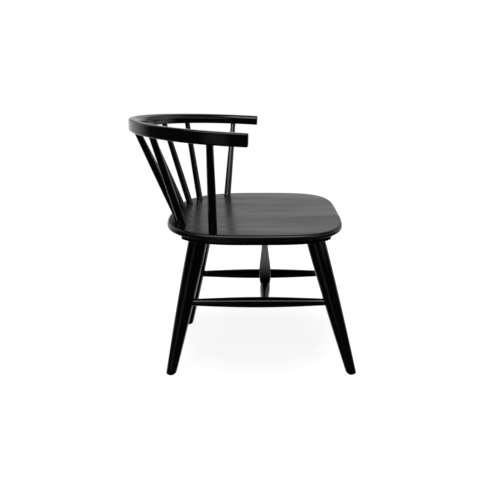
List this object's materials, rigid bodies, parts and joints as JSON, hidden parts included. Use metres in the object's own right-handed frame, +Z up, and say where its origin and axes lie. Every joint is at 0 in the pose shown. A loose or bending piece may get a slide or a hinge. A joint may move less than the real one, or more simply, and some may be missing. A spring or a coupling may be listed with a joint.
{
  "type": "low-back windsor armchair",
  "caption": "Black painted wooden armchair: dished board seat, half-round arm bow on tapered spindles, splayed turned legs and lens-shaped stretchers.",
  "frame": {"origin": "on the floor, under the middle of the chair's outline", "axes": "+Z up, +X towards the front of the chair, +Y towards the sitter's left"},
  "size_m": [0.6198, 0.69, 0.7095],
  "materials": {
    "black_paint": "satin black paint over wood",
    "black_nylon": "matt moulded nylon",
    "zinc_steel": "zinc plated"
  },
  "bodies": {
    "root": {"arm_bow": "black_paint", "arm_post_left": "black_paint", "arm_post_right": "black_paint", "center_post": "black_paint", "cross_stretcher": "black_paint", "leg_front_left": "black_paint", "leg_front_right": "black_paint", "leg_rear_left": "black_paint", "leg_rear_right": "black_paint", "seat_board": "black_paint", "side_stretcher_left": "black_paint", "side_stretcher_right": "black_paint", "spindle_1": "black_paint", "spindle_2": "black_paint", "spindle_3": "black_paint", "spindle_4": "black_paint", "spindle_5": "black_paint", "spindle_6": "black_paint", "under_board": "black_paint", "glide_front_left": "black_nylon", "glide_front_right": "black_nylon", "glide_rear_left": "black_nylon", "glide_rear_right": "black_nylon", "board_screw_1": "zinc_steel", "board_screw_2": "zinc_steel", "board_screw_3": "zinc_steel", "board_screw_4": "zinc_steel", "board_screw_5": "zinc_steel", "board_screw_6": "zinc_steel"}
  },
  "joints": []
}
